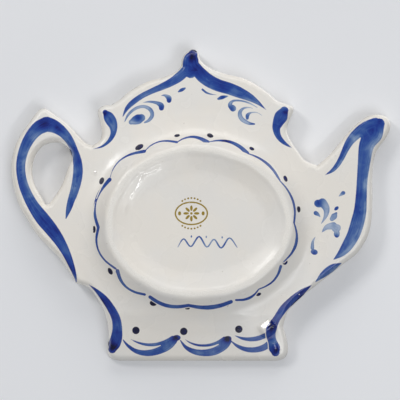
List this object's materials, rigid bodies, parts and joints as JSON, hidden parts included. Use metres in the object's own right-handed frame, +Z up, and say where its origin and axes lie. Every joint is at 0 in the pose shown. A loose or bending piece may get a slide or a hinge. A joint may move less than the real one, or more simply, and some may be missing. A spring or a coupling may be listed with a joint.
{
  "type": "teapot-shaped porcelain dish",
  "caption": "Shallow glazed porcelain dish in the outline of a teapot, with an oval foot ring, a raised lip, a finger hole and cobalt brush painting.",
  "frame": {"origin": "centre of the bounding box at its base: on the surface that the foot ring stands on", "axes": "+Z up out of the well, +Y towards the knob of the teapot's lid, +X towards its handle; the spout is at -X"},
  "size_m": [0.1601, 0.1311, 0.02],
  "materials": {
    "porcelain": "clear gloss glaze over white porcelain",
    "biscuit": "bare unglazed porcelain, slightly rough",
    "cobalt": "cobalt brush painting under the glaze",
    "deep_cobalt": "fully loaded cobalt dabs under the glaze",
    "gold": "thin worn gold stamp"
  },
  "bodies": {
    "root": {"foot_ring": "biscuit", "well_floor": "porcelain", "well_wall": "porcelain", "belly_flange": "porcelain", "handle_loop": "porcelain", "spout": "porcelain", "lid_crest": "porcelain", "finial_knob": "porcelain", "plinth": "porcelain", "rim_lip": "porcelain", "handle_hole_lip": "porcelain", "handle_strokes": "cobalt", "spout_strokes": "cobalt", "lid_strokes": "cobalt", "collar_commas": "cobalt", "belly_strokes": "cobalt", "scallop_garland": "cobalt", "plinth_swags": "cobalt", "painter_flourish": "cobalt", "front_rim_strokes": "cobalt", "front_well_line": "cobalt", "front_well_rose": "cobalt", "spout_florets": "deep_cobalt", "lid_curls": "deep_cobalt", "garland_dots": "deep_cobalt", "plinth_dots": "deep_cobalt", "front_well_sprigs": "deep_cobalt", "gold_backstamp": "gold"}
  },
  "joints": []
}
